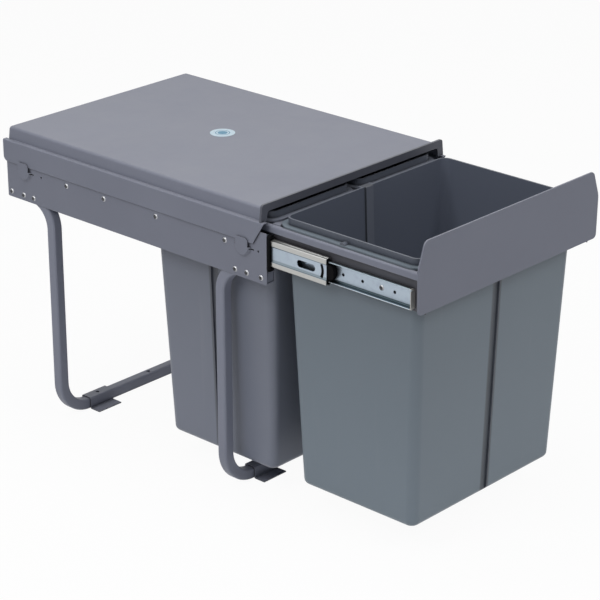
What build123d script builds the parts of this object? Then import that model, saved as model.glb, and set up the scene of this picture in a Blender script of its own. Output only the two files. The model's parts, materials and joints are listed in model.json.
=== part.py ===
import os
from math import cos, radians, sin

from build123d import *

# Pull out bin frame: a lidded steel cabinet frame on two bent tube legs, with a bin drawer
# that hangs on two three-section ball bearing slides.
# Frame of reference: X to the right seen from the pull-out side, Y to the rear, Z up.
# Origin: on the floor, in the middle of the four floor screws. All lengths are millimetres.

# Clearances and fits
seat_gap = 0.3
rivet_fit = 0.05
overrun = 5.0

# Legs
leg_spacing = 311.0
leg_outer_width = 336.0
leg_tube = 15.0
leg_corner = 3.0
leg_wall = 1.4
leg_top_bend = 38.0
leg_foot_bend = 44.0
leg_end_inset = 2.0
floor_hole_radius = 2.6

# Foot clips
clip_screw_inset = 20.0
clip_length = 41.0
clip_sheet = 1.5
clip_flange = 17.0
clip_hook = 6.0
clip_bend = 1.6

# Side panels
panel_bottom = 304.0
panel_spare_height = 5.8
panel_front_reach = 82.0
panel_rear_reach = 79.5
panel_sheet = 1.2
panel_corner = 2.0
panel_shoulder_inset = 14.0

# Lid hooks pressed out of the side panels
hook_front_inset = 39.0
hook_rear_inset = 34.5
hook_width = 20.0
hook_drop = 23.5
hook_height = 11.0
hook_sheet = 1.2
hook_corner = 4.0
hook_bulge_radius = 14.0
hook_bulge_top_radius = 11.0
hook_slot_length = 7.0
hook_slot_width = 1.6
hook_slot_gap = 1.5
hook_slot_drop = 2.2
locating_hole_radius = 1.4
locating_hole_front_inset = 13.5
locating_hole_rear_inset = 67.5

# Lid
lid_rise = 29.3
lid_front_inset = 9.0
lid_rear_reach = 2.4
lid_side_gap = 0.8
lid_ledge_width = 5.5
lid_step_slant = 2.3
lid_step = 16.8
lid_flange = 29.6
lid_sheet = 1.0
lid_bend = 4.0
lid_rear_bend = 7.0
lid_ledge_bend = 1.2
lid_lip = 8.4
lid_flange_front_inset = 2.9
lid_flange_rear_reach = 4.0
lid_flange_slant = 18.5
lid_flange_corner = 7.0
strip_rise = 4.9
strip_depth = 3.0
strip_cover = 1.5
label_radius = 16.5
label_sheet = 0.3
label_place = (5.6, 6.6)

# Rivets
rivet_shank_radius = 2.3
rivet_head_radius = 3.6
rivet_head_height = 1.1
rivet_bore_radius = 1.1
rivet_tail = 1.5
leg_rivets_beyond_leg = (29.0, 48.5, 72.5)
slide_rivets_behind_front = (354.5, 284.0, 189.0, 68.5)
drawer_rivet_rear_inset = 40.0
drawer_rivets_behind_front = (207.25, 49.25)

# Ball bearing slides
slide_over_leg = 2.9
slide_size = 45.2
slide_depth = 12.7
slide_sheet = 1.2
slide_corner = 1.7
outer_front_inset = 1.5
outer_length = 450.0
middle_shortfall = 26.0
middle_rear_inset = 4.25
inner_rear_inset = 17.0
outer_ball_radius = 2.0
inner_ball_radius = 1.75
ball_gap = 0.3
outer_ball_inset = 4.7
race_angle = 55.0
outer_lip_angle = 25.0
middle_lip_angle = 15.0
inner_lip_angle = 45.0
middle_band_inset = 3.0
middle_web_step = 0.8
middle_web_half = 9.0
middle_step_run = 1.6
middle_step_bend = 0.9
middle_bend = 1.1
middle_slot_length = 29.0
middle_slot_width = 9.0
middle_slot_place = 32.5
middle_window_length = 4.0
middle_window_width = 17.0
middle_window_place = 6.0
middle_window_sweep = 60.0
inner_hole_radius = 2.1
inner_holes_behind_front = (108.25, 78.25, 29.25)
inner_tab_reach = 6.0
cage_sheet = 0.4
cage_bend = 0.6
cage_length = 150.0
outer_cage_reach = 2.5
inner_cage_reach = 1.6
ball_row_count = 4
ball_pitch = 36.0
ball_pocket_gap = 0.12
end_cap_length = 5.0
end_cap_web = 1.9
end_cap_flange = 4.0
end_cap_reach = 8.2
bumper_length = 24.0
bumper_stand_out = 10.0
bumper_height = 18.5
bumper_depth = 5.4
bumper_round = 7.0

# Drawer travel, measured from the pulled-out rest position
drawer_close_travel = 231.5
middle_travel_share = 0.5
outer_cage_travel_share = 0.25
inner_cage_travel_share = 0.75
cage_closed_place = -5.0

# Drawer frame
rail_over_slide = 11.5
rail_skirt = 9.0
rail_skirt_reach = 5.1
rail_plate_inset = 7.1
rail_sheet = 1.2
rail_outer_bend = 2.4
rail_inner_bend = 1.0
rail_end_reach = 1.65
bar_width = 12.0
middle_bar_width = 14.0
bar_height = 15.0
bar_bend = 1.8
front_bar_height = 36.0
front_bar_flange = 11.0

# Front panel
front_panel_stand = 6.0
front_panel_sheet = 2.0
front_panel_rise = 2.3
front_panel_kink_rise = 55.5
front_panel_crown = 33.4
front_panel_side_reach = 2.1
front_panel_foot_inset = 1.3
front_panel_crown_inset = 11.6
front_panel_bottom_round = 6.0
front_panel_kink_round = 25.0
front_panel_top_round = 8.0
front_panel_edge_round = 0.6
stud_radius = 2.0
stud_length = 5.6
stud_rise = 29.7
stud_end_inset = 19.1
stud_count = 4
nut_width = 7.0
nut_height = 3.2

# Bins
bin_over_leg = 19.5
bin_collar = 8.6
bin_flange = 7.3
bin_flange_sheet = 2.4
bin_wall = 2.3
bin_floor = 2.5
bin_taper = 13.5
bin_corner = 12.0
bin_foot_round = 8.0
bin_row_length = 209.7
bin_side_gap = 4.6
rear_bin_clearance = 0.6
bin_row_clearance = 4.7
front_bin_inset = 17.05
groove_width = 10.0
groove_depth = 2.5
groove_side_wall = 1.5
rim_bump_radius = 4.5
rim_bump_sink = 1.5
rim_bump_place = 6.0
thumb_tab_length = 22.0
thumb_tab_reach = 5.0

# Sizes that follow from the ones above: the cabinet frame
leg_half = leg_spacing / 2
leg_side = (leg_outer_width - leg_tube) / 2
leg_top_run = panel_bottom + leg_tube / 2
leg_rivet_places = [leg_half + beyond for beyond in leg_rivets_beyond_leg]
clip_spacing = 2 * (leg_side - leg_foot_bend - clip_screw_inset)
panel_height = leg_tube + slide_size + panel_spare_height
panel_top = panel_bottom + panel_height
panel_front = leg_half + panel_front_reach
panel_rear = leg_half + panel_rear_reach
panel_face = leg_outer_width / 2 + panel_sheet
hook_base = panel_top - hook_drop
hook_front_place = panel_front - hook_front_inset
hook_rear_place = panel_rear - hook_rear_inset
locating_hole_front = panel_front - locating_hole_front_inset
locating_hole_rear = panel_rear - locating_hole_rear_inset
lid_top_height = panel_top + lid_rise
lid_front = panel_front - lid_front_inset
lid_rear = panel_rear + lid_rear_reach
lid_width = 2 * (panel_face + lid_side_gap + lid_sheet)
lid_step_width = lid_width - 2 * lid_ledge_width
lid_top_width = lid_step_width - 2 * lid_step_slant
lid_flange_front = panel_front - lid_flange_front_inset
lid_flange_rear = panel_rear + lid_flange_rear_reach

# Slides
slide_centre = panel_bottom + leg_tube + slide_over_leg + slide_size / 2
slide_face = leg_outer_width / 2
outer_race = outer_ball_radius + ball_gap + slide_sheet / 2
inner_race = inner_ball_radius + ball_gap + slide_sheet / 2
outer_ball_rise = slide_size / 2 - slide_sheet / 2 - outer_race
inner_ball_inset = outer_ball_inset + (outer_race + inner_race) * cos(radians(race_angle))
inner_ball_rise = outer_ball_rise - (outer_race + inner_race) * sin(radians(race_angle))
middle_web_inset = middle_band_inset + middle_web_step
inner_web_inset = slide_depth - slide_sheet / 2
outer_front = -panel_front + outer_front_inset
outer_rear = outer_front + outer_length
slide_rivet_places = [outer_front + behind for behind in slide_rivets_behind_front]
middle_length = outer_length - middle_shortfall
middle_close_travel = drawer_close_travel * middle_travel_share
middle_rear = outer_rear - middle_rear_inset - middle_close_travel
middle_front = middle_rear - middle_length
bumper_front = middle_front - bumper_stand_out
inner_front = bumper_front - (drawer_close_travel - middle_close_travel) - seat_gap - slide_sheet
inner_hole_places = [inner_front + behind for behind in inner_holes_behind_front]
outer_cage_place = cage_closed_place - drawer_close_travel * outer_cage_travel_share
inner_cage_place = cage_closed_place - drawer_close_travel * inner_cage_travel_share

# Drawer
rail_top = slide_centre + slide_size / 2 + rail_over_slide
rail_plate_bottom = slide_centre - slide_size / 2 + rail_plate_inset
rail_plate_face = slide_face - slide_depth
rail_plate_inside = rail_plate_face - rail_sheet
rail_outer_width = 2 * (rail_plate_face + rail_skirt_reach)
front_panel_face = panel_front + drawer_close_travel + front_panel_stand
front_panel_bottom = rail_plate_bottom + front_panel_rise
front_panel_kink = front_panel_bottom + front_panel_kink_rise
front_panel_top = front_panel_kink + front_panel_crown
front_panel_kink_width = 2 * (panel_face + front_panel_side_reach)
front_panel_bottom_width = front_panel_kink_width - 2 * front_panel_foot_inset
front_panel_top_width = front_panel_kink_width - 2 * front_panel_crown_inset
stud_height = front_panel_bottom + stud_rise
stud_end = rail_plate_inside - stud_end_inset
stud_places = [stud_end * (2 * index / (stud_count - 1) - 1) for index in range(stud_count)]
rail_front = -front_panel_face + front_panel_sheet
bin_bottom = leg_tube + bin_over_leg
bin_rim = rail_top + bin_flange_sheet + bin_collar
bin_height = bin_rim - bin_bottom
front_bin_width = 2 * (rail_plate_inside - bin_side_gap)
front_bin_place = front_panel_face - front_bin_inset - bin_row_length / 2
rear_bin_gap = 2 * bin_flange + rear_bin_clearance
rear_bin_width = (front_bin_width - rear_bin_gap) / 2
rear_bin_side = (rear_bin_gap + rear_bin_width) / 2
rear_bin_place = front_bin_place - bin_row_length - 2 * bin_flange - bin_row_clearance
middle_bar_place = (front_bin_place + rear_bin_place) / 2
rear_bar_place = rear_bin_place - (bin_row_length + bar_width) / 2 - seat_gap - bin_wall
rail_rear = rear_bar_place - bar_width / 2 - rail_end_reach
inner_rear = rail_rear + inner_rear_inset
drawer_rivet_places = [-inner_rear - drawer_rivet_rear_inset]
drawer_rivet_places += [inner_front + behind for behind in drawer_rivets_behind_front]


def across(y, z, x=0):
    # Plane whose sections run along X: its first axis is Y and its second Z
    return Plane(origin=(x, y, z), x_dir=(0, 1, 0), z_dir=(1, 0, 0))


def along(x, y, z):
    # Plane whose sections run forwards: its first axis is X and its second Z
    return Plane(origin=(x, y, z), x_dir=(1, 0, 0), z_dir=(0, -1, 0))


def both_sides(left):
    return left, mirror(left, about=Plane.YZ)


def write(name, shape):
    solids = shape.solids()
    kept = solids[0] if len(solids) == 1 else Compound(children=solids)
    export_step(kept, f"parts/{name}.step")


def side_hole(radius, depth, x, y, z):
    # Hole along X that starts at x and goes inwards by depth, with an overrun at both ends
    hole = Cylinder(radius, depth + 2 * overrun, rotation=(0, 90, 0))
    return Pos(x + depth / 2, y, z) * hole


def floor_hole(x, y, top):
    return Pos(x, y, top / 2) * Cylinder(floor_hole_radius, top + 2 * overrun)


# Legs and foot clips

def leg_path(place, end):
    # Top run along the side panel, bend down, foot bend, run across the floor, and back up
    centre = leg_tube / 2
    points = [
        (-leg_side, end, leg_top_run),
        (-leg_side, place, leg_top_run),
        (-leg_side, place, centre),
        (leg_side, place, centre),
        (leg_side, place, leg_top_run),
        (leg_side, end, leg_top_run),
    ]
    return FilletPolyline(*points, radius=[leg_top_bend, leg_foot_bend, leg_foot_bend, leg_top_bend])


def leg_rivet_row(side):
    return [side * place for place in leg_rivet_places]


def leg(place, end, rivets):
    path = leg_path(place, end)
    facing = Plane(origin=path @ 0, x_dir=(1, 0, 0), z_dir=path % 0)
    tube = RectangleRounded(leg_tube, leg_tube, leg_corner)
    bore = Rectangle(leg_tube - 2 * leg_wall, leg_tube - 2 * leg_wall)
    shape = sweep(facing * (tube - bore), path=path)
    for x in (-clip_spacing / 2, 0, clip_spacing / 2):
        shape -= floor_hole(x, place, leg_tube)
    for y in rivets:
        for x in (-leg_outer_width / 2, leg_outer_width / 2):
            shape -= Pos(x, y, leg_top_run) * Cylinder(
                rivet_shank_radius + rivet_fit, 2 * leg_wall, rotation=(0, 90, 0)
            )
    return shape


def foot_clip(side, place):
    # A strip that lies on the floor, climbs the front of the tube and hooks over its back
    reach = (leg_tube + clip_sheet) / 2
    points = [
        (-reach - clip_flange, clip_sheet / 2),
        (-reach, clip_sheet / 2),
        (-reach, leg_tube + clip_sheet / 2),
        (reach, leg_tube + clip_sheet / 2),
        (reach, leg_tube + clip_sheet / 2 - clip_hook),
    ]
    strip = trace(FilletPolyline(*points, radius=clip_bend), clip_sheet)
    x = side * clip_spacing / 2
    shape = extrude(across(place, 0, x - clip_length / 2) * strip, amount=clip_length)
    return shape - floor_hole(x, place, leg_tube + clip_sheet)


# Side panels

def hook(place):
    # Half-round pressing whose flat side carries a tongue that laps over the lid flange
    stand = lid_width / 2 + seat_gap + hook_sheet - panel_face
    bulge = Polyline(
        (0, 0), (hook_bulge_radius, 0), (hook_bulge_top_radius, stand), (0, stand), close=True
    )
    hollow = Polyline(
        (0, -panel_sheet - overrun),
        (hook_bulge_radius - panel_sheet, -panel_sheet - overrun),
        (hook_bulge_radius - panel_sheet, -panel_sheet),
        (hook_bulge_top_radius - panel_sheet, stand - hook_sheet),
        (0, stand - hook_sheet),
        close=True,
    )
    base = Plane(origin=(-panel_face, place, hook_base), x_dir=(0, 1, 0), z_dir=(0, 0, 1))
    spin = Axis((0, place, hook_base), (-1, 0, 0))
    outer = revolve(base * make_face(bulge), axis=spin, revolution_arc=180)
    inner = revolve(base * make_face(hollow), axis=spin, revolution_arc=180)
    tongue = Rectangle(hook_width, hook_height, align=(Align.CENTER, Align.MIN))
    tongue = fillet(tongue.vertices().group_by(Axis.Y)[-1], hook_corner)
    tongue = extrude(across(place, hook_base, -panel_face - stand) * tongue, amount=hook_sheet)
    return outer + tongue, inner


def left_side_panel():
    length = panel_front + panel_rear
    middle = (panel_rear - panel_front) / 2
    plate = RectangleRounded(length, panel_height, panel_corner)
    # The lid's ledge rests on the shoulder
    rise = panel_height / 2 + lid_rise - lid_step - lid_sheet
    plate += Rectangle(length - 2 * panel_shoulder_inset, rise, align=(Align.CENTER, Align.MIN))
    plate = across(middle, panel_bottom + panel_height / 2, -panel_face) * plate
    shape = extrude(plate, amount=panel_sheet)
    for place, ahead in ((-hook_front_place, -1), (hook_rear_place, -1)):
        raised, recess = hook(place)
        shape = shape + raised - recess
        slot = SlotOverall(hook_slot_length, hook_slot_width)
        slot_place = place + ahead * (hook_width / 2 + hook_slot_gap + hook_slot_length / 2)
        cut = across(slot_place, hook_base - hook_slot_drop, -panel_face - overrun) * slot
        shape -= extrude(cut, amount=panel_sheet + 2 * overrun)
    for y in (-locating_hole_front, locating_hole_rear):
        shape -= side_hole(locating_hole_radius, panel_sheet, -panel_face, y, hook_base - hook_slot_drop)
    hole = rivet_shank_radius + rivet_fit
    for y in leg_rivet_row(1) + leg_rivet_row(-1):
        shape -= side_hole(hole, panel_sheet, -panel_face, y, leg_top_run)
    for y in slide_rivet_places:
        shape -= side_hole(hole, panel_sheet, -panel_face, y, slide_centre)
    return shape


# Lid

def lid_outline(inset):
    # Outer surface of the top and the steps, brought inwards by inset, down to the ledge
    top = lid_top_height - inset
    ledge = lid_top_height - lid_step
    half_top = lid_top_width / 2 - inset
    half_foot = lid_step_width / 2 - inset
    points = [(-half_foot, ledge), (-half_top, top), (half_top, top), (half_foot, ledge)]
    face = make_face(Polyline(*points, close=True))
    return fillet(face.vertices().group_by(Axis.Y)[-1], lid_bend)


def lid_profile():
    # Sheet centre line: flange, ledge, step, top, and the same mirrored
    half = lid_sheet / 2
    ledge = lid_top_height - lid_step - half
    bottom = lid_top_height - lid_step - lid_flange
    edge = lid_width / 2 - half
    foot = lid_step_width / 2 - half
    top = lid_top_width / 2 - half
    right = [(top, lid_top_height - half), (foot, ledge), (edge, ledge), (edge, bottom)]
    left = [(-x, z) for x, z in reversed(right)]
    radii = [lid_ledge_bend, lid_ledge_bend, lid_bend - half]
    path = FilletPolyline(*left, *right, radius=radii + radii[::-1])
    return trace(path, lid_sheet)


def lid_end(inset, bend):
    # Rear end of the lid's top as a solid, rounded over to the rear
    front = lid_rear - 2 * lid_rear_bend
    rear = lid_rear - inset
    block = extrude(along(0, rear, 0) * lid_outline(inset), amount=rear - front)
    rim = block.faces().sort_by(Axis.Y)[-1].edges()
    upper = rim.filter_by(lambda edge: edge.center().Z > lid_top_height - lid_step + lid_sheet)
    return fillet(upper, bend)


def lid():
    length = lid_flange_front + lid_flange_rear
    shape = extrude(along(0, lid_flange_rear, 0) * lid_profile(), amount=length)
    ledge = lid_top_height - lid_step
    above = lid_step + overrun
    end = lid_rear - 2 * lid_rear_bend
    for low, high in ((-lid_flange_front - overrun, -lid_front), (end, lid_flange_rear + overrun)):
        block = Box(2 * lid_width, high - low, above, align=(Align.CENTER, Align.MIN, Align.MIN))
        shape -= Pos(0, low, ledge) * block
    mouth = along(0, lid_rear + overrun, 0) * lid_outline(lid_lip)
    mouth = extrude(mouth, amount=overrun + 2 * lid_rear_bend)
    shape += lid_end(0, lid_rear_bend) - lid_end(lid_sheet, lid_rear_bend - lid_sheet) - mouth
    bottom = ledge - lid_flange
    slant = Polyline(
        (-lid_flange_front, ledge),
        (-lid_flange_front + lid_flange_slant, bottom),
        (-lid_flange_front + lid_flange_slant, bottom - overrun),
        (-lid_flange_front - overrun, bottom - overrun),
        (-lid_flange_front - overrun, ledge),
        close=True,
    )
    shape -= extrude(across(0, 0, -lid_width) * make_face(slant), amount=2 * lid_width)
    corners = shape.edges().filter_by(Axis.X).filter_by(
        lambda edge: abs(edge.center().Z - bottom) < lid_sheet and edge.center().Y > end
    )
    return fillet(corners, lid_flange_corner)


def lid_edge_strip(cover):
    # Edging pushed over the front edge of the lid's top and steps
    rear = -lid_front + strip_cover
    ring = lid_outline(-strip_rise) - lid_outline(strip_rise)
    return extrude(along(0, rear, 0) * ring, amount=strip_depth) - cover


def lid_label():
    x, y = label_place
    return Pos(x, y, lid_top_height + label_sheet / 2) * Cylinder(label_radius, label_sheet)


# Rivets

def rivet(grip, tail):
    # Hollow rivet along X: head at x below zero, shank to x = grip, short tail beyond
    outline = Polyline(
        (0, rivet_head_radius),
        (-rivet_head_height, rivet_head_radius - rivet_head_height),
        (-rivet_head_height, rivet_bore_radius),
        (grip + tail, rivet_bore_radius),
        (grip + tail, rivet_shank_radius),
        (0, rivet_shank_radius),
        close=True,
    )
    return revolve(make_face(outline), axis=Axis.X)


def left_leg_rivets():
    grip = panel_sheet + leg_wall
    places = leg_rivet_row(1) + leg_rivet_row(-1)
    return Compound(children=[Pos(-panel_face, y, leg_top_run) * rivet(grip, rivet_tail) for y in places])


def left_slide_rivets():
    grip = panel_sheet + slide_sheet
    places = slide_rivet_places
    return Compound(children=[Pos(-panel_face, y, slide_centre) * rivet(grip, 0) for y in places])


def left_drawer_rivets():
    grip = slide_sheet + rail_sheet
    x = -slide_face + slide_depth - slide_sheet
    places = drawer_rivet_places
    return Compound(children=[Pos(x, y, slide_centre) * rivet(grip, rivet_tail) for y in places])


# Slides. Sections are drawn with the first axis across the slide from the side panel,
# and the second axis upwards from the slide's centre line.

def arc_about(centre, radius, start, sweep_angle):
    return CenterArc(centre, radius, start, sweep_angle)


def folded(upper_half, sheet):
    lower_half = mirror(upper_half, about=Plane.XZ)
    return trace(Wire([*upper_half.edges(), *lower_half.edges()]), sheet)


def outer_section():
    flange = slide_size / 2 - slide_sheet / 2
    web = slide_sheet / 2
    start = FilletPolyline((web, 0), (web, flange), (outer_ball_inset, flange), radius=slide_corner)
    lip = arc_about((outer_ball_inset, outer_ball_rise), outer_race, 90, outer_lip_angle - 90)
    return folded(Wire([*start.edges(), *lip.edges()]), slide_sheet)


def middle_section():
    # The S of the flange is the outer balls' lower race and the inner balls' upper race
    groove = outer_ball_rise - outer_race
    start = FilletPolyline(
        (middle_web_inset, 0),
        (middle_web_inset, middle_web_half),
        (middle_band_inset, middle_web_half + middle_step_run),
        (middle_band_inset, groove),
        (outer_ball_inset, groove),
        radius=[middle_step_bend, middle_step_bend, middle_bend],
    )
    lower = arc_about((outer_ball_inset, outer_ball_rise), outer_race, -90, 90 - race_angle)
    start_angle = 180 - race_angle
    upper = arc_about(
        (inner_ball_inset, inner_ball_rise), inner_race, start_angle, -start_angle - middle_lip_angle
    )
    return folded(Wire([*start.edges(), *lower.edges(), *upper.edges()]), slide_sheet)


def inner_section():
    race = inner_ball_rise - inner_race
    start = FilletPolyline(
        (inner_web_inset, 0), (inner_web_inset, race), (inner_ball_inset, race), radius=slide_corner
    )
    lip = arc_about((inner_ball_inset, inner_ball_rise), inner_race, -90, -inner_lip_angle)
    return folded(Wire([*start.edges(), *lip.edges()]), slide_sheet)


def left_outer_slide():
    shape = extrude(along(-slide_face, outer_rear, slide_centre) * outer_section(), amount=outer_length)
    for y in slide_rivet_places:
        shape -= side_hole(rivet_shank_radius + rivet_fit, slide_sheet, -slide_face, y, slide_centre)
    return shape


def left_middle_slide():
    shape = extrude(along(-slide_face, middle_rear, slide_centre) * middle_section(), amount=middle_length)
    web_face = -slide_face + middle_web_inset - slide_sheet
    slot = across(middle_front + middle_slot_place, slide_centre, web_face) * SlotOverall(
        middle_slot_length, middle_slot_width
    )
    shape -= extrude(slot, amount=2 * slide_sheet)
    bow = CenterArc(
        (middle_window_width, 0), middle_window_width, 180 - middle_window_sweep / 2, middle_window_sweep
    )
    window = trace(bow, middle_window_length)
    window = across(middle_front + middle_window_place, slide_centre, web_face) * window
    return shape - extrude(window, amount=2 * slide_sheet)


def left_inner_slide():
    length = -inner_rear - inner_front
    shape = extrude(along(-slide_face, -inner_rear, slide_centre) * inner_section(), amount=length)
    web_face = -slide_face + slide_depth - slide_sheet
    for y in inner_hole_places:
        shape -= side_hole(inner_hole_radius, slide_sheet, web_face, y, slide_centre)
    for y in drawer_rivet_places:
        shape -= side_hole(rivet_shank_radius + rivet_fit, slide_sheet, web_face, y, slide_centre)
    # Stop tab turned in at the front end
    rise = inner_ball_rise - inner_race
    height = 2 * rise - 2 * slide_corner
    tab = Rectangle(inner_tab_reach + slide_sheet, height, align=(Align.MAX, Align.CENTER))
    tab = along(web_face + slide_sheet, inner_front + slide_sheet, slide_centre) * tab
    return shape + extrude(tab, amount=slide_sheet)


def left_end_cap():
    # Plastic guard on the front end of the outer section, clear of the middle one
    outline = Rectangle(end_cap_reach, slide_size, align=(Align.MIN, Align.CENTER))
    room = Rectangle(end_cap_reach, slide_size - 2 * end_cap_flange, align=(Align.MIN, Align.CENTER))
    outline -= Pos(end_cap_web, 0) * room
    outline = fillet(outline.vertices().group_by(Axis.X)[0], slide_corner)
    return extrude(along(-slide_face, outer_front, slide_centre) * outline, amount=end_cap_length)


def left_bumper():
    # Plastic stop held in the front end of the middle section
    low = middle_web_inset + slide_sheet / 2
    profile = Rectangle(bumper_length, bumper_height, align=(Align.MIN, Align.CENTER))
    profile = fillet(profile.vertices().group_by(Axis.X)[0], bumper_round)
    return extrude(across(bumper_front, slide_centre, -slide_face + low) * profile, amount=bumper_depth)


def ball_places(middle):
    first = middle - (ball_row_count - 1) * ball_pitch / 2
    return [first + ball_pitch * index for index in range(ball_row_count)]


def cage(web_inset, ball_inset, ball_rise, ball_radius, reach, middle):
    # Thin folded strip with a pocket round each ball
    half = FilletPolyline(
        (web_inset, 0), (web_inset, ball_rise), (ball_inset + reach, ball_rise), radius=cage_bend
    )
    strip = folded(half, cage_sheet)
    shape = extrude(along(-slide_face, middle + cage_length / 2, slide_centre) * strip, amount=cage_length)
    pocket = Cylinder(ball_radius + ball_pocket_gap, 2 * (ball_rise + overrun))
    for y in ball_places(middle):
        shape -= Pos(-slide_face + ball_inset, y, slide_centre) * pocket
    return shape


def balls(ball_inset, ball_rise, radius, middle):
    return Compound(
        children=[
            Pos(-slide_face + ball_inset, y, slide_centre + side * ball_rise) * Sphere(radius)
            for y in ball_places(middle)
            for side in (-1, 1)
        ]
    )


def left_outer_cage():
    web = slide_sheet + ball_gap + cage_sheet / 2
    return cage(
        web, outer_ball_inset, outer_ball_rise, outer_ball_radius, outer_cage_reach, outer_cage_place
    )


def left_inner_cage():
    web = middle_web_inset + slide_sheet / 2 + ball_gap + cage_sheet / 2
    return cage(
        web, inner_ball_inset, inner_ball_rise, inner_ball_radius, inner_cage_reach, inner_cage_place
    )


# Drawer frame

def left_rail():
    # Folded strip: slide plate, flat top, and a rounded skirt over the slide
    plate = -rail_plate_face + rail_sheet / 2
    skirt = -(rail_outer_width - rail_sheet) / 2
    top = rail_top - rail_sheet / 2
    path = FilletPolyline(
        (plate, rail_plate_bottom),
        (plate, top),
        (skirt, top),
        (skirt, rail_top - rail_skirt),
        radius=[rail_inner_bend, rail_outer_bend],
    )
    shape = extrude(along(0, -rail_rear, 0) * trace(path, rail_sheet), amount=-rail_rear - rail_front)
    for y in drawer_rivet_places:
        shape -= side_hole(rivet_shank_radius + rivet_fit, rail_sheet, -rail_plate_face, y, slide_centre)
    for y in inner_hole_places:
        shape -= side_hole(inner_hole_radius, rail_sheet, -rail_plate_face, y, slide_centre)
    return shape


def channel(width, height):
    # Upside-down channel with its top face at zero height
    half = (width - rail_sheet) / 2
    top = -rail_sheet / 2
    path = FilletPolyline((-half, -height), (-half, top), (half, top), (half, -height), radius=bar_bend)
    return trace(path, rail_sheet)


def cross_bar(place, width):
    section = across(-place, rail_top, -rail_plate_inside) * channel(width, bar_height)
    return extrude(section, amount=2 * rail_plate_inside)


def bin_divider():
    rear = -rear_bar_place - bar_width / 2
    front = -middle_bar_place + middle_bar_width / 2
    return extrude(along(0, rear, rail_top) * channel(bar_width, bar_height), amount=rear - front)


def front_bar():
    # Angle bolted to the back of the front panel
    upright = rail_front + rail_sheet / 2
    top = rail_top - rail_sheet / 2
    path = FilletPolyline(
        (upright, rail_top - front_bar_height), (upright, top), (rail_front + front_bar_flange, top),
        radius=bar_bend,
    )
    shape = extrude(across(0, 0, -rail_plate_inside) * trace(path, rail_sheet), amount=2 * rail_plate_inside)
    for x in stud_places:
        hole = Cylinder(stud_radius + rivet_fit, 2 * overrun, rotation=(90, 0, 0))
        shape -= Pos(x, rail_front, stud_height) * hole
    return shape


# Front panel

def front_panel():
    widths = (front_panel_bottom_width, front_panel_kink_width, front_panel_top_width)
    heights = (front_panel_bottom, front_panel_kink, front_panel_top)
    right = [(width / 2, height) for width, height in zip(widths, heights)]
    left = [(-x, z) for x, z in reversed(right)]
    radii = [front_panel_bottom_round, front_panel_kink_round, front_panel_top_round]
    outline = FilletPolyline(*right, *left, radius=radii + radii[::-1], close=True)
    shape = extrude(along(0, rail_front, 0) * make_face(outline), amount=front_panel_sheet)
    shape = fillet(shape.faces().sort_by(Axis.Y)[0].edges(), front_panel_edge_round)
    for x in stud_places:
        stud = Cylinder(stud_radius, stud_length, rotation=(90, 0, 0))
        shape += Pos(x, rail_front + stud_length / 2, stud_height) * stud
    return shape


def front_panel_nuts():
    hexagon = RegularPolygon(nut_width / 2, 6, major_radius=False) - Circle(stud_radius + rivet_fit)
    rear = rail_front + rail_sheet + nut_height
    return Compound(
        children=[extrude(along(x, rear, stud_height) * hexagon, amount=nut_height) for x in stud_places]
    )


# Bins. Drawn with the long walls along X, round the bin's own middle.

def bin_inset(height):
    return bin_taper * (bin_rim - height) / bin_height


def bin_body(length, width, skin, low, high):
    sections = []
    for height in (low, high):
        inset = 2 * (bin_inset(height) + skin)
        outline = RectangleRounded(length - inset, width - inset, bin_corner - skin)
        sections.append(Pos(0, 0, height) * outline)
    body = loft(Sketch() + sections, ruled=True)
    return fillet(body.edges().group_by(Axis.Z)[0], bin_foot_round - skin)


def groove_tool(width, depth, breadth, high):
    # Wedge that follows the taper of a long wall, from the given depth below its outer face
    low = bin_bottom - overrun
    top = high + overrun
    profile = Polyline(
        (width / 2 - bin_inset(low) - depth, low),
        (width / 2 - bin_inset(high) - depth, high),
        (width / 2 - bin_inset(high) + overrun, high),
        (width / 2 - bin_inset(low) + overrun, low),
        close=True,
    )
    wedge = extrude(across(0, 0, -breadth / 2) * make_face(profile), amount=breadth)
    return wedge + mirror(wedge, about=Plane.XZ)


def bin_shape(length, width):
    seat = rail_top
    body = bin_body(length, width, 0, bin_bottom, bin_rim)
    body -= groove_tool(width, groove_depth, groove_width, seat)
    flange = RectangleRounded(length + 2 * bin_flange, width + 2 * bin_flange, bin_corner + bin_flange)
    body += extrude(Pos(0, 0, seat) * flange, amount=bin_flange_sheet)
    cavity = bin_body(length, width, bin_wall, bin_bottom + bin_floor, bin_rim + overrun)
    breadth = groove_width + 2 * groove_side_wall
    ridge = groove_tool(width, groove_depth + bin_wall, breadth, bin_rim + overrun)
    return body - (cavity - ridge)


def rim_bumps():
    # Half-round bumps on the front bin's side flanges
    reach = front_bin_width + 2 * bin_flange
    top = rail_top + bin_flange_sheet
    bump = Cylinder(rim_bump_radius, reach, rotation=(0, 90, 0))
    bump = Pos(0, rim_bump_place, top - rim_bump_sink) * bump
    above = Pos(0, rim_bump_place, top) * Box(
        reach, bin_row_length, bin_collar, align=(Align.CENTER, Align.CENTER, Align.MIN)
    )
    span = front_bin_width - 2 * bin_wall
    inside = Box(span, bin_row_length, bin_rim, align=(Align.CENTER, Align.CENTER, Align.MIN))
    return (bump & above) - inside


def front_bin():
    shape = bin_shape(front_bin_width, bin_row_length) + rim_bumps()
    rear = bin_row_length / 2 - bin_wall / 2
    tab = Box(
        thumb_tab_length, thumb_tab_reach + bin_wall / 2, bin_flange_sheet,
        align=(Align.CENTER, Align.MIN, Align.MAX),
    )
    shape += Pos(0, rear, bin_rim) * tab
    return Pos(0, -front_bin_place, 0) * shape


def rear_left_bin():
    turned = Rot(0, 0, 90) * bin_shape(bin_row_length, rear_bin_width)
    return Pos(-rear_bin_side, -rear_bin_place, 0) * turned


os.makedirs("parts", exist_ok=True)

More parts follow.
